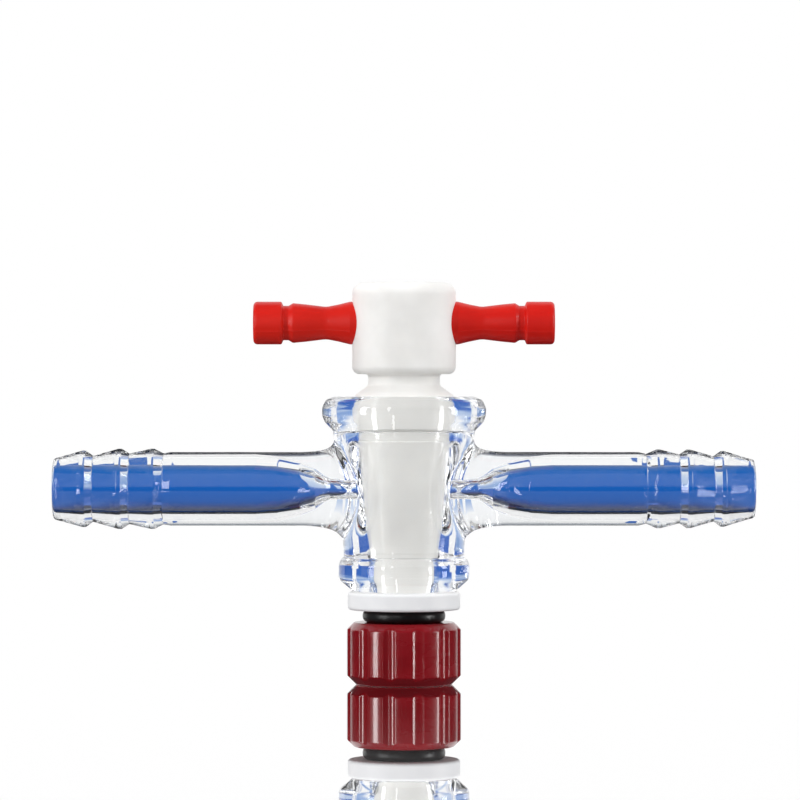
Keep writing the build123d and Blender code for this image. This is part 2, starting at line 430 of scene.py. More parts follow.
def moulded_red(name, bright, deep, roughness, coat, scale, index):
    """Moulded thermoplastic with faint flow marks and a soft skin."""
    material = bpy.data.materials.new(name)
    n = Nodes(material)
    flow = n.noise(n.coords((60 * scale, 160 * scale, 160 * scale)), 1.0, 4.0, 0.55)
    speck = n.noise(n.coords((1400, 1400, 1400)), 1.0, 2.0)
    colour = n.mix(n.spread(flow, 0.32, 0.68), tuple(deep), tuple(bright))
    rough = n.spread(flow, 0.3, 0.7, roughness - 0.05, roughness + 0.07)
    sink = n.noise(n.coords((210, 210, 210)), 1.0, 1.0)
    normal = n.bump(sink, 0.2, 0.0001)
    normal = n.bump(speck, 0.07, 0.00002, normal)
    red = n.add(
        "ShaderNodeBsdfPrincipled",
        {
            "Base Color": colour,
            "Roughness": rough,
            "IOR": index,
            "Coat Weight": coat,
            "Coat Roughness": 0.05,
            "Normal": normal,
        },
    )
    n.finish(red.outputs[0])
    return material


def washer_white(finishes):
    """Matt white washer with pressed rings."""
    material = bpy.data.materials.new("white_washer_plastic")
    n = Nodes(material)
    cloud = n.noise(n.coords((200, 200, 200)), 1.0, 4.0)
    colour = n.mix(n.spread(cloud, 0.3, 0.7), WASHER_SHADE, tuple(finishes.washer_white))
    rings = n.add(
        "ShaderNodeTexWave",
        {"Vector": n.coords((1, 1, 1)), "Scale": 700.0, "Distortion": 0.4, "Detail": 2.0},
        wave_type="RINGS",
        rings_direction="Z",
    )
    normal = n.bump(rings.outputs["Fac"], 0.12, 0.00003)
    normal = n.bump(n.noise(n.coords((900, 900, 900)), 1.0, 3.0), 0.1, 0.00003, normal)
    white = n.add(
        "ShaderNodeBsdfPrincipled",
        {"Base Color": colour, "Roughness": n.spread(cloud, 0.3, 0.7, 0.42, 0.55), "IOR": 1.38, "Normal": normal},
    )
    n.finish(white.outputs[0])
    return material


def black_rubber(finishes):
    """Moulded black rubber with fine texture."""
    material = bpy.data.materials.new("black_ring_rubber")
    n = Nodes(material)
    cloud = n.noise(n.coords((400, 400, 400)), 1.0, 4.0)
    colour = n.mix(n.spread(cloud, 0.35, 0.7), RUBBER_SHADE, tuple(finishes.ring_black))
    normal = n.bump(n.noise(n.coords((1800, 1800, 1800)), 1.0, 3.0), 0.2, 0.00003)
    rubber = n.add(
        "ShaderNodeBsdfPrincipled",
        {"Base Color": colour, "Roughness": n.spread(cloud, 0.3, 0.7, 0.3, 0.42), "IOR": 1.5, "Normal": normal},
    )
    n.finish(rubber.outputs[0])
    return material


# ---------------------------------------------------------------- glass


def barrel_skin(sizes):
    """Closed skin of the barrel: beads, wall, foot, bore and mouth, in rows that the welds use."""
    half = WELD_HALF_STEPS
    height = sizes.weld_height / MM
    weld_rows = [ARM_Z + height * math.tan(k * math.pi / (4 * half)) for k in range(half, -half - 1, -1)]
    port_rows = [ARM_Z + step for step in (-3.0, -1.9, -1.1, -0.55, 0, 0.55, 1.1, 1.9, 3.0)]
    corners = [
        (7.1, 37.2, 0), (7.1, 38.93, 0.38), (9.4, 38.93, 1.2), (10.6, 38.5, 1.0), (11.1, 37.4, 1.2),
        (11.1, 36.3, 1.4), (10.75, 35.4, 1.2), (10.15, 34.75, 0.5), (9.66, 34.2, 0.5),
    ]
    corners += [(wall_r(z), z, 0) for z in weld_rows]
    corners += [(wall_r(z), z, 0) for z in (18.8, 18.0)]
    corners += [
        (8.2, 17.2, 0.3), (8.6, 16.9, 0.4), (8.88, 16.2, 0.8), (8.88, 14.2, 1.0), (7.0, 12.6, 0.35),
        (4.85, 12.6, 0.25), (4.85, 16.9, 0.08), (taper_r(17.0) + TAPER_GAP, 17.0, 0.05),
    ]
    corners += [(taper_r(z) + TAPER_GAP, z, 0) for z in (19.0, 21.5, *port_rows, 31.5, 33.4)]
    corners += [(taper_r(34.44) + TAPER_GAP, 34.44, 0.1), (7.1, 35.1, 0.35)]
    bm = bmesh.new()
    outline(bm, corners, closed=True, margin=0)
    spun(bm, GLASS_STEPS)
    return bm


def in_steps(angle):
    """An angle in steps of the barrel's spin, from the +X axis."""
    return angle / FULL_TURN * GLASS_STEPS


def round_direction(s, t):
    """Where a point of the square with sides at 1 and -1 points once the square is drawn into a circle."""
    leans = [math.tan(max(-1, min(1, value)) * math.pi / 4) for value in (s, t)]
    return Vector(leans).normalized()


def open_rim(bm, side, low, high):
    """Open edges on one side, between two distances from the axis."""
    return [
        e for e in bm.edges
        if len(e.link_faces) == 1 and all(v.co.x * side > 0 and low < v.co.xy.length / MM < high for v in e.verts)
    ]


def open_weld(bm, side, sizes):
    """Cuts a square patch where an arm joins, eases the wall round it to the weld's saddle, returns its rim."""
    half = WELD_HALF_STEPS
    height = sizes.weld_height / MM
    width = sizes.weld_width / MM
    eased = {}
    inside = []
    for vert in bm.verts:
        x, y, z = vert.co / MM
        radius = math.hypot(x, y)
        if x * side <= 0 or not WELD_LOW < z < WELD_HIGH or radius < wall_r(z) - WELD_SKIN:
            continue
        s = in_steps(math.atan2(y, x * side)) / half
        t = math.atan((z - ARM_Z) / height) / (math.pi / 4)
        reach = max(abs(s), abs(t))
        if reach < 1 - 1e-4:
            inside.append(vert)
            continue
        direction = round_direction(s / reach, t / reach)
        far = max((abs(s) - 1) / 0.5, (abs(t) - 1) / (0.16 if t > 0 else 0.22))
        share = min(max(far, 0), 1)
        if share >= 1:
            continue
        share = share * share * (3 - 2 * share)
        flat = Vector((direction.x * width * reach, direction.y * height * reach + ARM_Z))
        plain = Vector((y, z))
        y, z = flat.lerp(plain, share)
        out = math.sqrt(max(wall_r(z) ** 2 - y * y, 0.01))
        eased[vert] = Vector((side * out, y, z)) * MM
    for vert, spot in eased.items():
        vert.co = spot
    bmesh.ops.delete(bm, geom=inside, context="VERTS")
    rim = open_rim(bm, side, 7.5, 20.0)
    if len(rim) != 8 * half:
        raise RuntimeError(f"the weld's rim has {len(rim)} edges")
    return rim


def open_port(bm, side):
    """Cuts the small round port in the tapered bore."""
    half = PORT_HALF_STEPS
    inside = []
    for vert in bm.verts:
        x, y, z = vert.co / MM
        radius = math.hypot(x, y)
        if x * side <= 0 or abs(z - ARM_Z) > PORT_REACH + 0.1 or radius > taper_r(z) + 0.2:
            continue
        s = in_steps(math.atan2(y, x * side)) / half
        t = (z - ARM_Z) / PORT_REACH
        reach = max(abs(s), abs(t))
        if reach < 1 - 1e-3:
            inside.append(vert)
        elif reach < 1 + 1e-3:
            direction = round_direction(s, t)
            y, z = direction.x, ARM_Z + direction.y
            wall = taper_r(z) + TAPER_GAP
            vert.co = Vector((side * math.sqrt(wall * wall - y * y), y, z)) * MM
    bmesh.ops.delete(bm, geom=inside, context="VERTS")
    edges = len(open_rim(bm, side, 0.0, 7.0))
    if edges != 8 * half:
        raise RuntimeError(f"the port's rim has {edges} edges")


def grow_flare(bm, rim, side, sizes):
    """Draws the arm's root out of the weld, ring by ring, from the saddle to a round tube."""
    ring = {v for e in rim for v in e.verts}
    saddle = {}
    for vert in ring:
        x, y, z = vert.co / MM
        saddle[vert] = (abs(x), math.atan2((z - ARM_Z) / sizes.weld_height, y / sizes.weld_width))
    # A shallow crease where the two hot pieces ran together.
    for vert in saddle:
        out = Vector((vert.co.x, vert.co.y, 0)).normalized()
        vert.co -= out * sizes.weld_crease
    edges = rim
    for share, along, radius in FLARE:
        result = bmesh.ops.extrude_edge_only(bm, edges=edges)
        fresh = [g for g in result["geom"] if isinstance(g, bmesh.types.BMVert)]
        drawn = [g for g in result["geom"] if isinstance(g, bmesh.types.BMEdge)]
        edges = [edge for edge in drawn if all(v in fresh for v in edge.verts)]
        moved = {}
        for vert in fresh:
            old = next(e.other_vert(vert) for e in vert.link_edges if e.other_vert(vert) in saddle)
            x, angle = saddle[old]
            moved[vert] = (x, angle)
            place_x = x * (1 - share) + along * share
            vert.co = Vector((side * place_x, radius * math.cos(angle), ARM_Z + radius * math.sin(angle))) * MM
        saddle = moved


def arm_skin(barbs, direction):
    """Open skin of one arm, from its flare over the barbs and the rim and down the bore to the port."""
    start = FLARE[-1]
    corners = [(start[2], start[1], 0)]
    corners += [(5.0, along, 0) for along in (18.0, 23.0, 28.0)]
    corners += [(radius, along, rounding) for along, radius, rounding in barbs]
    corners += [(radius, along, rounding) for along, radius, rounding in ARM_BORE]
    bm = bmesh.new()
    outline(bm, corners, margin=0.12, segments=3)
    spun(bm, GLASS_STEPS)
    lay_along_x(bm, direction, ARM_Z)
    return bm


def append_bmesh(bm, other):
    """Adds another bmesh's geometry to this one."""
    mesh = bpy.data.meshes.new("passing")
    other.to_mesh(mesh)
    other.free()
    bm.from_mesh(mesh)
    bpy.data.meshes.remove(mesh)


def make_glass(sizes, finishes):
    """The whole glass body as one closed skin."""
    bm = barrel_skin(sizes)
    for side, barbs in ((-1, LEFT_BARBS), (1, RIGHT_BARBS)):
        rim = open_weld(bm, side, sizes)
        open_port(bm, side)
        grow_flare(bm, rim, side, sizes)
        append_bmesh(bm, arm_skin(barbs, side))
        bmesh.ops.remove_doubles(bm, verts=bm.verts[:], dist=4e-6)
        axis = Vector((0, ARM_Z * MM))
        open_edges = [e for e in bm.edges if len(e.link_faces) == 1 and e.verts[0].co.x * side > 0]
        ports = [e for e in open_edges if (e.verts[0].co.yz - axis).length < 1.6 * MM]
        bmesh.ops.bridge_loops(bm, edges=ports)
    bmesh.ops.recalc_face_normals(bm, faces=bm.faces[:])
    check_closed(bm, "glass")
    bm.normal_update()
    for vert in bm.verts:
        x, y, z = vert.co / MM
        on_arm = abs(x) > 12
        off_axis = math.hypot(y, z - ARM_Z) if on_arm else math.hypot(x, y)
        if off_axis > (3.4 if on_arm else taper_r(z) + 1.2):
            wave = noise.noise(Vector((x * 0.16, y * 0.33, z * 0.33)) + Vector((3.1, 7.7, 1.9)))
            vert.co -= vert.normal * sizes.unevenness * (0.5 + 0.5 * wave)
    obj = subdivide(new_object("glass_barrel_and_arms", bm))
    return place(obj, "glass", "glass_body", clear_glass(finishes))


# ---------------------------------------------------------------- key, handle, washer, ring, nut


def threaded_rod(major, minor, bottom, top, pitch, steps=48):
    """A closed right-hand threaded rod, cut square at both ends."""
    rows = [(minor, 0.0), (minor, 0.16), (major, 0.44), (major, 0.58), (minor, 0.86), (minor, 1.0)]
    low = bottom - 2 * pitch
    bm = wire(Vector((radius, 0, low + share * pitch)) * MM for radius, share in rows)
    turns = math.ceil((top - bottom) / pitch) + 4
    spin(bm, FULL_TURN * turns, steps * turns, climb=pitch * MM / steps)
    bmesh.ops.remove_doubles(bm, verts=bm.verts[:], dist=3e-6)
    for height, up in ((bottom, False), (top, True)):
        trim(bm, (0, 0, height * MM), (0, 0, 1), up)
    bmesh.ops.recalc_face_normals(bm, faces=bm.faces[:])
    return bm


def round_cutter(radius, low, high, steps=64):
    """A closed round bar along Z between two heights."""
    bm = bmesh.new()
    bmesh.ops.create_cone(
        bm, cap_ends=True, segments=steps, radius1=radius * MM, radius2=radius * MM,
        depth=(high - low) * MM, matrix=Matrix.Translation((0, 0, (high + low) / 2 * MM)),
    )
    return bm


def with_flats(bm, half_width):
    """Planes both Y sides of a bar flat and closes the cuts."""
    for side in (-1, 1):
        trim(bm, (0, side * half_width * MM, 0), (0, side, 0))
    bmesh.ops.recalc_face_normals(bm, faces=bm.faces[:])
    return bm


KEY_OUTLINE = [
    (0, 11.4, 0), (4.08, 11.4, 0), (4.08, 16.98, 0.06), (4.58, 17.0, 0.12), (6.18, 33.0, 0.12),
    (6.03, 33.05, 0.04), (6.03, 34.58, 0.04), (6.23, 34.6, 0.08), (6.98, 35.37, 0.12), (6.98, 38.6, 0.3),
    (6.62, 39.05, 0.3), (4.85, 40.4, 0.5), (4.85, 41.9, 0.35), (7.0, 41.9, 1.9), (7.0, 54.29, 1.5),
    (0, 54.29, 0),
]


def make_key(sizes, finishes):
    """The turned key: head, neck, collar, taper, stub and threaded tail with flats."""
    bm = turned(KEY_OUTLINE, steps=128, margin=0.12, segments=6)
    check_closed(bm, "key")
    obj = new_object("key_head_and_taper", bm)
    tail = with_flats(threaded_rod(3.78, 3.2, 1.5, 12.0, sizes.pitch / MM), 3.28)
    hole = round_cutter(2.905, -9, 9, 96)
    lay_along_x(hole, 1, HANDLE_Z)
    passage = round_cutter(1.0, -9, 9, 48)
    lay_along_x(passage, 1, ARM_Z)
    below_stub = round_cutter(9.0, 8.0, 11.9)
    bake_cuts(obj, [("DIFFERENCE", below_stub), ("UNION", tail), ("DIFFERENCE", hole), ("DIFFERENCE", passage)])
    mark_creases(obj)
    return place(obj, "key", "plug", white_key(finishes))


def make_handle(sizes, finishes):
    """The moulded bar through the head, waisted, with a nick and a cap at each end and a parting line."""
    half = [
        (2.89, 7.3, 0.3), (2.5, 8.9, 1.5), (2.19, 10.5, 2.5), (2.53, 13.3, 3.0), (2.69, 15.0, 0.35),
        (2.33, 15.6, 0.14), (2.33, 16.3, 0.1), (2.89, 16.55, 0.22), (2.89, 20.35, 0.55), (0, 20.35, 0),
    ]
    corners = [(radius, -along, rounding) for radius, along, rounding in reversed(half)]
    corners += half
    bm = turned(corners, steps=72, margin=0.1, segments=5)
    lay_along_x(bm, 1, HANDLE_Z)
    centre = Vector((0, 0, HANDLE_Z * MM))
    tilt = math.radians(-24)
    along = Vector((0, -math.cos(tilt), math.sin(tilt)))
    across = along.cross(Vector((1, 0, 0)))
    for shift in (-0.07, 0.0, 0.07):
        geometry = bm.verts[:] + bm.edges[:] + bm.faces[:]
        spot = centre + across * shift * MM
        bmesh.ops.bisect_plane(bm, geom=geometry, plane_co=spot, plane_no=across)
    for vert in bm.verts:
        spoke = vert.co - centre
        spoke.x = 0
        on_line = abs(spoke.dot(across)) < 0.004 * MM and spoke.length > 1.9 * MM
        if on_line and abs(vert.co.x) > 7.2 * MM:
            vert.co += spoke.normalized() * sizes.parting_line
    check_closed(bm, "handle")
    obj = new_object("red_handle_bar", bm)
    mark_creases(obj, 50)
    bright, deep = finishes.handle_bright, finishes.handle_deep
    material = moulded_red("red_moulded_handle", bright, deep, 0.4, 0.05, 1.0, 1.36)
    return place(obj, "key", "handle_bar", material)


def make_washer(finishes):
    """The white washer with its keyed hole."""
    corners = [(0, 10.1, 0), (7.6, 10.1, 0.4), (7.6, 12.5, 0.4), (0, 12.5, 0)]
    obj = new_object("white_washer", turned(corners, steps=128, margin=0.1, segments=5))
    bake_cuts(obj, [("DIFFERENCE", with_flats(round_cutter(3.86, 8.0, 14.0, 96), 3.36))])
    mark_creases(obj)
    return place(obj, "seal", "washer", washer_white(finishes))


def make_ring(finishes):
    """The squashed rubber ring."""
    low, high = 8.42, 10.10
    corners = [(3.85, low, 0.72), (5.6, low, 0.72), (5.6, high, 0.72), (3.85, high, 0.72)]
    bm = turned(corners, steps=96, closed=True, margin=0.05, segments=5)
    obj = subdivide(new_object("rubber_ring", bm))
    return place(obj, "seal", "o_ring", black_rubber(finishes))


def soft_min(first, second, ease):
    """The smaller of two lengths with an eased change between them."""
    share = max(ease - abs(first - second), 0) / ease
    return min(first, second) - share * share * ease / 4


def make_nut(sizes, finishes):
    """The fluted nut with chamfered rims and a threaded bore."""
    radius = sizes.nut_radius / MM
    high = sizes.nut_height / MM
    flute_r, depth = 1.5, 0.32
    pitch = FULL_TURN / sizes.flutes
    corners = [(0, 0.0, 0), (radius - 1.25, 0.0, 0.3)]
    corners += [(radius - 1.25 + 0.208 * k, 0.208 * k, 0) for k in range(1, 6)]
    corners += [(radius, 1.25, 0.25)]
    corners += [(radius, height, 0) for height in (2.2, 4.0, 6.0)]
    corners += [(radius, high - 0.95, 0.25)]
    corners += [(radius - 0.19 * k, high - 0.95 + 0.19 * k, 0) for k in range(1, 5)]
    corners += [(radius - 0.95, high, 0.3), (0, high, 0)]
    bm = turned(corners, steps=360, margin=0.06, segments=4)
    centre = radius + flute_r - depth
    for vert in bm.verts:
        far = vert.co.xy.length / MM
        if far < radius - 1.6:
            continue
        angle = math.atan2(vert.co.y, vert.co.x)
        off = ((angle / pitch) % 1.0 - 0.5) * pitch
        inside = flute_r * flute_r - (centre * math.sin(off)) ** 2
        limit = centre * math.cos(off) - math.sqrt(inside) if inside > 0 else centre
        wanted = soft_min(far, limit, 0.1)
        vert.co.x *= wanted / far
        vert.co.y *= wanted / far
    obj = new_object("dark_red_nut", bm)
    bore = threaded_rod(3.9, 3.36, -1.0, high + 1.0, sizes.pitch / MM)
    bake_cuts(obj, [
        ("DIFFERENCE", bore),
        ("DIFFERENCE", mouth_cone(0, 0.4, 3.85, high)),
        ("DIFFERENCE", mouth_cone(1, 0.4, 3.85, high)),
    ])
    mark_creases(obj, 40)
    bright, deep = finishes.nut_bright, finishes.nut_deep
    material = moulded_red("dark_red_nut_plastic", bright, deep, 0.24, 0.5, 1.3, 1.4)
    return place(obj, "clamp_nut", "nut", material)


def mouth_cone(end, chamfer, bore_r, high):
    """The countersink of one mouth of the nut."""
    bm = bmesh.new()
    wide, narrow = bore_r + chamfer + 0.5, bore_r - 0.6
    length = wide - narrow
    bottom = -0.5 if end == 0 else high + 0.5 - length
    radii = (wide, narrow) if end == 0 else (narrow, wide)
    bmesh.ops.create_cone(
        bm, cap_ends=True, segments=96, radius1=radii[0] * MM, radius2=radii[1] * MM,
        depth=length * MM, matrix=Matrix.Translation((0, 0, (bottom + length / 2) * MM)),
    )
    return bm


# ---------------------------------------------------------------- stage

# Metres. The cards' profiles: (y, z) of the sweep behind, then (radius, z) of the curved cards.
CAMERA_BACK = 0.64
LAMP_AIM = (0, 0, 0.03)
SWEEP = [
    (0.005, 0.0001), (0.03, 0.0001), (0.1, 0.0001), (0.36, 0.0001), (0.42, 0.06), (0.43, 0.2), (0.38, 0.36),
    (0.2, 0.5), (0.02, 0.55),
]
SIDE_CARD = [(0.34, 0.0002), (0.34, 0.03), (0.34, 0.06), (0.34, 0.09), (0.34, 0.15)]
LOW_CARD = [(0.085, 0.0003), (0.2, 0.0003), (0.34, 0.0003)]
# Where along the arms the bore's wall shows the card above, in painted blue.
BARBS_START = 0.0312
BARBS_END = 0.05
PAINTED_BARB_BLUE = linear(66, 112, 188)

# Painted reflection and painted shade: the flags glow at these dark tones. They are met only in reflections and
# through the glass, and the table's matt tone is the dim light that matt surfaces get from below.
PAINTED_ROOM_REFLECTION = (0.03, 0.03, 0.034)
PAINTED_TABLE_REFLECTION = (0.05, 0.05, 0.055)
PAINTED_TABLE_UNDERSIDE_SHADE = (0.3, 0.3, 0.3)
PAINTED_ARM_EDGE_DARK = (0.015, 0.018, 0.028)
PAINTED_BLIND_REFLECTION = (0.01, 0.013, 0.02)

# Painted refraction: the cards glow at these tones and only rays through the glass meet them, so they paint the
# blue and the dark bands that the glass shows. Tones by degrees above the arms' height. The solid tones are for
# light that hasn't met the bore.
CARD_TONES = [
    (-60, (0, 8, 26)), (-30, (0, 10, 44)), (-19, (8, 54, 124)), (-11, (20, 88, 174)), (0, (22, 98, 190)),
    (15, (40, 108, 194)), (27, (84, 124, 190)), (38, (130, 150, 190)), (50, (205, 210, 226)),
    (88, (190, 195, 204)),
]
SOLID_TONES = [
    (-54, (8, 14, 30)), (-46, (40, 54, 84)), (-40, (250, 251, 253)), (50, (252, 253, 254)),
    (62, (176, 182, 190)), (88, (196, 201, 208)),
]
LEFT_TONES = [
    (-22, (225, 232, 246)), (-10, (68, 112, 194)), (-2.5, (60, 106, 190)), (-0.5, (150, 178, 222)),
    (1.2, (186, 204, 234)), (2.2, (132, 164, 216)), (9, (160, 186, 228)), (22, (250, 252, 255)),
]
RIGHT_TONES = [
    (-22, (225, 232, 246)), (-10, (62, 106, 190)), (-1.0, (72, 114, 194)), (0.8, (112, 148, 210)),
    (2.2, (180, 200, 232)), (9, (196, 212, 238)), (22, (250, 252, 255)),
]
PAINTED_LOW_CARD_BLUE = [(-80, (60, 104, 188)), (0, (60, 104, 188))]


def seen_by(obj, rays):
    """Leaves an object visible only to the rays named."""
    for ray in ("camera", "diffuse", "glossy", "transmission", "shadow", "volume_scatter"):
        setattr(obj, "visible_" + ray, ray in rays)


def card_tone(obj, colour_stops, solid_stops=None, fade_from=None, fade_to=None):
    """A card's glowing tone by the angle above the arms' height, met only through the glass: painted refraction.
    """
    material = bpy.data.materials.new(obj.name + "_tone")
    n = Nodes(material)
    spot = n.add("ShaderNodeSeparateXYZ", {0: n.add("ShaderNodeTexCoord").outputs["Object"]})
    path = n.add("ShaderNodeLightPath")
    across = n.math("ABSOLUTE", spot.outputs[1])
    rise = n.math("ARCTAN2", n.math("SUBTRACT", spot.outputs[2], ARM_Z * MM), across)
    share = n.spread(rise, -math.pi / 2, math.pi / 2)
    colour = n.ramp(share, [(0.5 + angle / 180, linear(*rgb)) for angle, rgb in colour_stops])
    if solid_stops:
        solid = n.ramp(share, [(0.5 + angle / 180, linear(*rgb)) for angle, rgb in solid_stops])
        through = n.math("GREATER_THAN", path.outputs["Transmission Depth"], 2.5)
        colour = n.mix(through, solid, colour)
    if fade_from:
        fade = n.spread(n.math("ABSOLUTE", spot.outputs[0]), fade_from, fade_to)
        colour = n.mix(fade, colour, (1, 1, 1, 1))
    not_matt = n.math("LESS_THAN", path.outputs["Diffuse Depth"], 0.5)
    seen = n.math("MULTIPLY", path.outputs["Is Transmission Ray"], not_matt)
    if solid_stops:
        unturned = n.math("LESS_THAN", path.outputs["Glossy Depth"], 0.5)
        # Painted refraction: light turned by the bore's wall meets the card above the arms only from the barbs,
        # where it takes the painted blue.
        rear = n.math("DIVIDE", across, n.math("COSINE", rise))
        reach = n.math("ADD", n.math("MULTIPLY", rear, 1 / CAMERA_BACK), 1.0)
        along = n.math("DIVIDE", n.math("ABSOLUTE", spot.outputs[0]), reach)
        after_start = n.math("GREATER_THAN", along, BARBS_START)
        at_barbs = n.math("MULTIPLY", after_start, n.math("LESS_THAN", along, BARBS_END))
        high = n.math("MULTIPLY", at_barbs, n.math("GREATER_THAN", rise, math.radians(4)))
        seen = n.math("MULTIPLY", seen, n.math("MAXIMUM", n.math("MAXIMUM", unturned, through), high))
        turned_high = n.math("MULTIPLY", high, n.math("SUBTRACT", 1.0, unturned))
        colour = n.mix(turned_high, colour, PAINTED_BARB_BLUE)
    glow = n.add("ShaderNodeEmission", {"Color": colour, "Strength": 1.0})
    clear = n.add("ShaderNodeBsdfTransparent")
    mixed = n.add("ShaderNodeMixShader", {0: seen, 1: clear.outputs[0], 2: glow.outputs[0]})
    n.finish(mixed.outputs[0])
    obj.data.materials.append(material)
    seen_by(obj, ("transmission",))


def sweep_card(name, profile, half_width, colour_stops, solid_stops):
    """The glowing card behind, met only through the glass, which paints refraction: a (y, z) sweep drawn out along
    X.
    """
    bm = wire((-half_width, y, z) for y, z in profile)
    drawn = bmesh.ops.extrude_edge_only(bm, edges=bm.edges[:])
    fresh = [g for g in drawn["geom"] if isinstance(g, bmesh.types.BMVert)]
    bmesh.ops.translate(bm, vec=(2 * half_width, 0, 0), verts=fresh)
    card_tone(new_object(name, bm), colour_stops, solid_stops, 0.75 * half_width, half_width)


def wing_card(name, azimuths, heights, colour_stops, steps=24):
    """A curved glowing card beside the key, met only through the glass, which paints refraction, at angles from
    straight back.
    """
    bm = wire((radius, 0, height) for radius, height in heights)
    start, end = (math.radians(90 - value) for value in azimuths)
    bmesh.ops.rotate(bm, verts=bm.verts[:], cent=(0, 0, 0), matrix=Matrix.Rotation(start, 3, "Z"))
    spin(bm, end - start, steps)
    card_tone(new_object(name, bm), colour_stops)


def flag(name, bm, tone, rays, painted_matt_shade=None, keep_straight=False):
    """A studio flag met only by the rays named, glowing at its tone to paint a dark reflection. With a matt tone,
    which is painted shade for matt surfaces, it is one-sided and clear when grazed.
    """
    obj = new_object(name, bm)
    material = bpy.data.materials.new(name + "_tone")
    n = Nodes(material)
    path = n.add("ShaderNodeLightPath")
    # Clear for the ray that the floor's perfect mirror turns first, so that no flag shows in the floor.
    single = n.math("LESS_THAN", path.outputs["Glossy Depth"], 1.5)
    first_mirror = n.math("MULTIPLY", path.outputs["Is Singular Ray"], single)
    if painted_matt_shade:
        matt_ray = path.outputs["Is Diffuse Ray"]
        colour = n.mix(matt_ray, (*tone, 1), (*painted_matt_shade, 1))
        facing = n.add("ShaderNodeLayerWeight", {"Blend": 0.5}).outputs["Facing"]
        grazing = n.math("MULTIPLY", n.spread(facing, 0.8, 0.9), n.math("SUBTRACT", 1.0, matt_ray))
        open_share = n.math("MAXIMUM", n.add("ShaderNodeNewGeometry").outputs["Backfacing"], grazing)
        open_share = n.math("MAXIMUM", open_share, first_mirror)
    else:
        colour = (*tone, 1)
        matt_before = n.math("GREATER_THAN", path.outputs["Diffuse Depth"], 0.5)
        straight = n.math("LESS_THAN", path.outputs["Glossy Depth"], 0.5)
        straight = n.math("MULTIPLY", straight, path.outputs["Is Transmission Ray"])
        open_share = n.math("MAXIMUM", matt_before, first_mirror)
        if not keep_straight:
            open_share = n.math("MAXIMUM", open_share, straight)
    glow = n.add("ShaderNodeEmission", {"Color": colour, "Strength": 1.0}).outputs[0]
    clear = n.add("ShaderNodeBsdfTransparent").outputs[0]
    n.finish(n.add("ShaderNodeMixShader", {0: open_share, 1: glow, 2: clear}).outputs[0])
    obj.data.materials.append(material)
    seen_by(obj, rays)


def panel(stand):
    """A flat square of half side 1, put in place by a matrix."""
    bm = bmesh.new()
    bmesh.ops.create_grid(bm, x_segments=1, y_segments=1, size=1.0)
    bmesh.ops.transform(bm, matrix=stand, verts=bm.verts[:])
    return bm


def make_flags():
    """Painted reflections and painted shade from glowing dark sheets: the dim room round the camera, the dark
    table top and side walls, and what darkens the arms' edges.
    """
    # Painted reflection: a glowing dark dome round the camera, met only in reflections and through the glass.
    bm = wire([(-1.7, 0, 0), (-1.7, -1.3, 0), (1.7, -1.3, 0), (1.7, 0, 0)])
    spin(bm, -math.radians(114), 24, axis=(1, 0, 0))
    bmesh.ops.remove_doubles(bm, verts=bm.verts[:], dist=1e-6)
    flag("painted_reflection_room", bm, PAINTED_ROOM_REFLECTION, ("glossy", "transmission"))
    # Painted reflection and painted shade: a glowing disc just above the floor, dark in reflections and dim for
    # the light that matt surfaces get from below.
    bm = bmesh.new()
    bmesh.ops.create_circle(bm, cap_ends=True, segments=64, radius=0.3)
    bmesh.ops.translate(bm, vec=(0, 0, 0.00015), verts=bm.verts[:])
    bmesh.ops.recalc_face_normals(bm, faces=bm.faces[:])
    for face in bm.faces:
        if face.normal.z < 0:
            face.normal_flip()
    flag("painted_reflection_and_shade_table", bm, PAINTED_TABLE_REFLECTION, ("glossy", "diffuse"), PAINTED_TABLE_UNDERSIDE_SHADE)
    # Painted reflection: glowing dark side panels, met only in reflections.
    for name, side in (("left_painted_reflection_wall", -1), ("right_painted_reflection_wall", 1)):
        stand = Matrix.Translation((side * 1.2, 0.48, 0.5)) @ Matrix.Rotation(math.pi / 2, 4, "Y")
        flag(name, panel(stand @ Matrix.Diagonal((0.5, 0.5, 1, 1))), PAINTED_ROOM_REFLECTION, ("glossy",))
    # Painted shade: a glowing dark strip on the floor behind the arms, met only through the glass, paints the dark
    # lines along the arms' edges.
    stand = Matrix.Translation((0, 0.0075, 0.0002)) @ Matrix.Diagonal((0.06, 0.0055, 1, 1))
    flag("painted_dark_strip_behind_arms", panel(stand), PAINTED_ARM_EDGE_DARK, ("transmission",), keep_straight=True)
    # Painted reflection: glowing dark panels behind the arms, met only in reflections, paint dark lines along the
    # arms.
    for name, side in (("left_painted_reflection_blind", -1), ("right_painted_reflection_blind", 1)):
        stand = Matrix.Translation((side * 0.033, 0.013, 0.039)) @ Matrix.Rotation(math.pi / 2, 4, "X")
        flag(name, panel(stand @ Matrix.Diagonal((0.021, 0.0062, 1, 1))), PAINTED_BLIND_REFLECTION, ("glossy",))


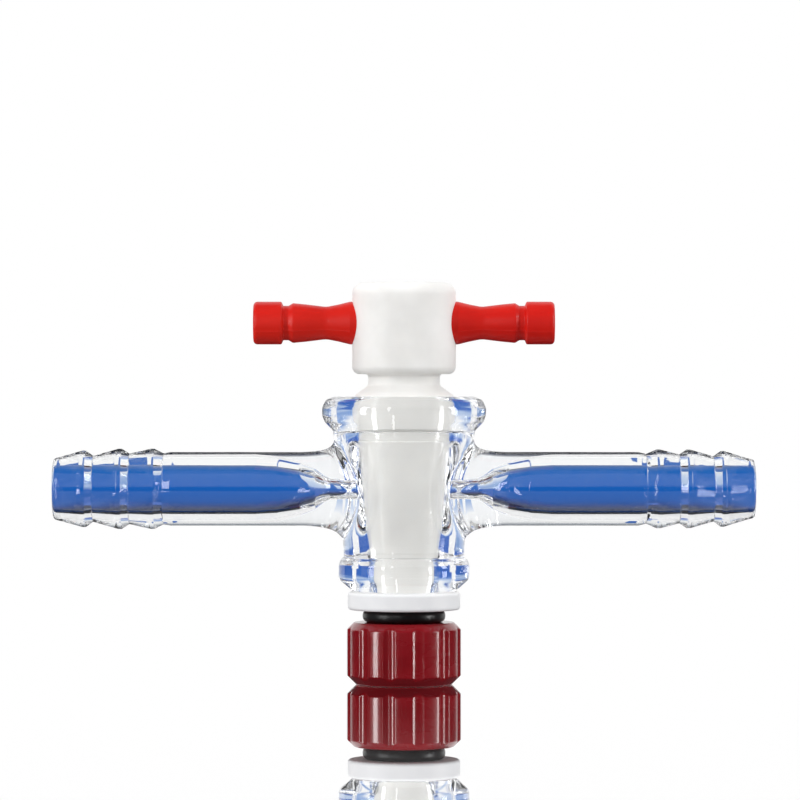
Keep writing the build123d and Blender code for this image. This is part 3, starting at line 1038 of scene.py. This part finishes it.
def make_floor(settings):
    """A wide pale polished floor: a mirror at a grazing look, plain and matt from above."""
    bm = bmesh.new()
    bmesh.ops.create_circle(bm, cap_ends=True, segments=96, radius=4.0)
    obj = new_object("pale_floor", bm)
    material = bpy.data.materials.new("pale_polished_floor")
    n = Nodes(material)
    cloud = n.noise(n.coords((6, 6, 6)), 1.0, 3.0)
    colour = n.mix(cloud, tuple(settings.floor_colour), FLOOR_SHADE)
    matt = n.add("ShaderNodeBsdfPrincipled", {"Base Color": colour, "Roughness": 0.55, "IOR": 1.4})
    # Roughness nought makes the floor the perfect mirror that the flags stay out of.
    gloss = n.add("ShaderNodeBsdfGlossy", {"Color": (1, 1, 1, 1), "Roughness": 0.0})
    facing = n.add("ShaderNodeLayerWeight", {"Blend": 0.5}).outputs["Facing"]
    share = n.spread(facing, 0.78, 0.93, 0.06, 1.0, "SMOOTHSTEP")
    mixed = n.add("ShaderNodeMixShader", {0: share, 1: matt.outputs[0], 2: gloss.outputs[0]})
    n.finish(mixed.outputs[0])
    obj.data.materials.append(material)


def make_world(settings):
    """White all round for what is seen, and a plain level of light for what is lit."""
    world = bpy.data.worlds.new("studio")
    bpy.context.scene.world = world
    n = Nodes(world)
    path = n.add("ShaderNodeLightPath")
    seen = n.math("MAXIMUM", path.outputs["Is Camera Ray"], path.outputs["Is Glossy Ray"])
    seen = n.math("MAXIMUM", seen, path.outputs["Is Transmission Ray"])
    seen = n.math("MULTIPLY", seen, n.math("LESS_THAN", path.outputs["Diffuse Depth"], 0.5))
    strength = n.spread(seen, 0.0, 1.0, settings.ambient, 1.0)
    background = n.add("ShaderNodeBackground", {"Color": (1, 1, 1, 1), "Strength": strength})
    n.finish(background.outputs[0], "ShaderNodeOutputWorld")


def softbox(name, spot, target, width, height, watts):
    """One soft rectangular lamp aimed at a point."""
    light = bpy.data.lights.new(name, "AREA")
    light.shape = "RECTANGLE"
    light.size, light.size_y = width, height
    light.energy = watts
    lamp = bpy.data.objects.new(name, light)
    aim = (Vector(target) - Vector(spot)).to_track_quat("-Z", "Y")
    lamp.matrix_world = Matrix.Translation(spot) @ aim.to_matrix().to_4x4()
    bpy.context.scene.collection.objects.link(lamp)
    return lamp


def make_camera(settings):
    """A long lens level with the head."""
    camera = bpy.data.cameras.new("camera")
    camera.sensor_width = 36.0
    camera.lens = 36.0 * settings.distance / settings.view_width
    camera.clip_start = 0.01
    camera.clip_end = 20.0
    camera.shift_y = (settings.view_centre - settings.eye_height) / settings.view_width
    obj = bpy.data.objects.new("camera", camera)
    place_at = Matrix.Translation((settings.view_side, -settings.distance, settings.eye_height))
    obj.matrix_world = place_at @ Matrix.Rotation(math.pi / 2, 4, "X")
    bpy.context.scene.collection.objects.link(obj)
    bpy.context.scene.camera = obj


# ---------------------------------------------------------------- settings


def length(label, text, default):
    """A length property in metres."""
    return bpy.props.FloatProperty(
        name=label, description=text, default=default, min=0.0, unit="LENGTH", precision=5
    )


def paint(label, text, red, green, blue):
    """A colour property from display values."""
    return bpy.props.FloatVectorProperty(
        name=label, description=text, default=linear(red, green, blue), size=4, min=0, max=1, subtype="COLOR"
    )


NUT_LOW, NUT_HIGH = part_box("nut")


class StopcockSizes(bpy.types.PropertyGroup):
    """Sizes of the pieces."""

    weld_height: length("Weld height", "Half height of the weld between barrel and arm", 0.0067)
    weld_width: length("Weld width", "Half width of the weld between barrel and arm", 0.0063)
    weld_crease: length("Weld crease", "Depth of the crease along the weld", 0.00006)
    unevenness: length("Unevenness", "How far the hand-worked glass strays from true", 0.00004)
    pitch: length("Thread pitch", "Pitch of the tail's thread", 0.00125)
    parting_line: length("Parting line", "Height of the handle's parting line", 0.000035)
    nut_radius: length("Nut radius", "Outside radius of the nut", 0.0077)
    nut_height: length("Nut height", "Height of the nut", float(NUT_HIGH.z - NUT_LOW.z))
    flutes: bpy.props.IntProperty(
        name="Flutes", description="Number of flutes round the nut", default=12, min=3, max=48
    )


class StopcockFinishes(bpy.types.PropertyGroup):
    """Colours and optical values."""

    glass_ior: bpy.props.FloatProperty(
        name="Glass index", description="Refractive index of the glass", default=1.455, min=1.0, max=2.5
    )
    key_white: paint("Key white", "White of the key", 252, 251, 248)
    washer_white: paint("Washer white", "White of the washer", 250, 250, 252)
    ring_black: paint("Ring black", "Black of the rubber ring", 24, 24, 25)
    handle_bright: paint("Handle red", "Bright red of the handle", 220, 26, 8)
    handle_deep: paint("Handle deep red", "Deeper red in the handle's flow marks", 204, 14, 5)
    nut_bright: paint("Nut red", "Dark red of the nut", 140, 8, 22)
    nut_deep: paint("Nut deep red", "Deeper red in the nut's flow marks", 118, 4, 14)


class StopcockStage(bpy.types.PropertyGroup):
    """Camera, floor and light."""

    distance: length("Camera distance", "From the camera to the axis", CAMERA_BACK)
    view_width: length("View width", "Width seen at the axis", 0.10811)
    view_centre: length("View centre", "Height at the middle of the view", 0.0384)
    eye_height: length("Eye height", "Height of the camera", 0.045)
    view_side: bpy.props.FloatProperty(
        name="View side", description="Camera's place across", default=-0.00054, unit="LENGTH", precision=5
    )
    ambient: bpy.props.FloatProperty(
        name="Ambient", description="Level of light from all round", default=0.57, min=0, max=2
    )
    floor_colour: paint("Floor", "Colour of the floor", 250, 250, 250)


def sizes_of(context):
    return context.scene.stopcock_sizes


def finishes_of(context):
    return context.scene.stopcock_finishes


class STOPCOCK_OT_glass(bpy.types.Operator):
    """Build the glass barrel with its two hose arms"""

    bl_idname = "stopcock.glass"
    bl_label = "Glass body"

    def execute(self, context):
        make_glass(sizes_of(context), finishes_of(context))
        return {"FINISHED"}


class STOPCOCK_OT_key(bpy.types.Operator):
    """Build the white key"""

    bl_idname = "stopcock.key"
    bl_label = "Key"

    def execute(self, context):
        make_key(sizes_of(context), finishes_of(context))
        return {"FINISHED"}


class STOPCOCK_OT_handle(bpy.types.Operator):
    """Build the red handle bar"""

    bl_idname = "stopcock.handle"
    bl_label = "Handle bar"

    def execute(self, context):
        make_handle(sizes_of(context), finishes_of(context))
        return {"FINISHED"}


class STOPCOCK_OT_seal(bpy.types.Operator):
    """Build the washer and the rubber ring"""

    bl_idname = "stopcock.seal"
    bl_label = "Washer and ring"

    def execute(self, context):
        make_washer(finishes_of(context))
        make_ring(finishes_of(context))
        return {"FINISHED"}


class STOPCOCK_OT_nut(bpy.types.Operator):
    """Build the fluted nut"""

    bl_idname = "stopcock.nut"
    bl_label = "Nut"

    def execute(self, context):
        make_nut(sizes_of(context), finishes_of(context))
        return {"FINISHED"}


class STOPCOCK_OT_stage(bpy.types.Operator):
    """Set the floor, the cards, the light and the camera"""

    bl_idname = "stopcock.stage"
    bl_label = "Stage"

    def execute(self, context):
        settings = context.scene.stopcock_stage
        make_floor(settings)
        make_world(settings)
        # Painted refraction: glowing cards, met only through the glass, that paint the blue and the dark bands the
        # glass shows.
        sweep_card("painted_refraction_backdrop", SWEEP, 0.8, CARD_TONES, SOLID_TONES)
        wing_card("left_card", (-84, -16), SIDE_CARD, LEFT_TONES)
        wing_card("right_card", (16, 84), SIDE_CARD, RIGHT_TONES)
        wing_card("left_low_card", (-84, -28), LOW_CARD, PAINTED_LOW_CARD_BLUE)
        wing_card("right_low_card", (28, 84), LOW_CARD, PAINTED_LOW_CARD_BLUE)
        softbox("left_light", (-0.58, -0.34, 0.2), LAMP_AIM, 0.12, 0.4, 2.0)
        softbox("right_light", (0.62, -0.16, 0.2), LAMP_AIM, 0.12, 0.4, 1.8)
        softbox("front_light", (-0.27, -0.7, 0.24), LAMP_AIM, 0.05, 0.4, 0.6)
        top = softbox("top_light", (0.0, -0.12, 0.7), LAMP_AIM, 0.5, 0.3, 1.1)
        top.visible_glossy = top.visible_transmission = False
        make_flags()
        make_camera(settings)
        context.scene.view_settings.view_transform = "Standard"
        cycles = context.scene.cycles
        cycles.max_bounces = 20
        cycles.glossy_bounces = 16
        cycles.transmission_bounces = 20
        cycles.transparent_max_bounces = 24
        return {"FINISHED"}


class STOPCOCK_PT_panel(bpy.types.Panel):
    """Lists the steps that build the stopcock"""

    bl_idname = "STOPCOCK_PT_panel"
    bl_label = "Stopcock"
    bl_space_type = "VIEW_3D"
    bl_region_type = "UI"
    bl_category = "Stopcock"

    def draw(self, context):
        layout = self.layout
        for step in STEPS:
            layout.operator(step.bl_idname)
        for group in (context.scene.stopcock_sizes, context.scene.stopcock_finishes, context.scene.stopcock_stage):
            box = layout.box()
            for key in group.__annotations__:
                box.prop(group, key)


GROUPS = (StopcockSizes, StopcockFinishes, StopcockStage)
STEPS = (
    STOPCOCK_OT_glass, STOPCOCK_OT_key, STOPCOCK_OT_handle, STOPCOCK_OT_seal, STOPCOCK_OT_nut, STOPCOCK_OT_stage
)


def register():
    for cls in (*GROUPS, *STEPS, STOPCOCK_PT_panel):
        bpy.utils.register_class(cls)
    bpy.types.Scene.stopcock_sizes = bpy.props.PointerProperty(type=StopcockSizes)
    bpy.types.Scene.stopcock_finishes = bpy.props.PointerProperty(type=StopcockFinishes)
    bpy.types.Scene.stopcock_stage = bpy.props.PointerProperty(type=StopcockStage)


def unregister():
    del bpy.types.Scene.stopcock_stage
    del bpy.types.Scene.stopcock_finishes
    del bpy.types.Scene.stopcock_sizes
    for cls in reversed((*GROUPS, *STEPS, STOPCOCK_PT_panel)):
        bpy.utils.unregister_class(cls)


def main():
    register()
    bpy.ops.stopcock.glass()
    bpy.ops.stopcock.key()
    bpy.ops.stopcock.handle()
    bpy.ops.stopcock.seal()
    bpy.ops.stopcock.nut()
    bpy.ops.stopcock.stage()
    bpy.context.view_layer.update()


if __name__ == "__main__":
    main()
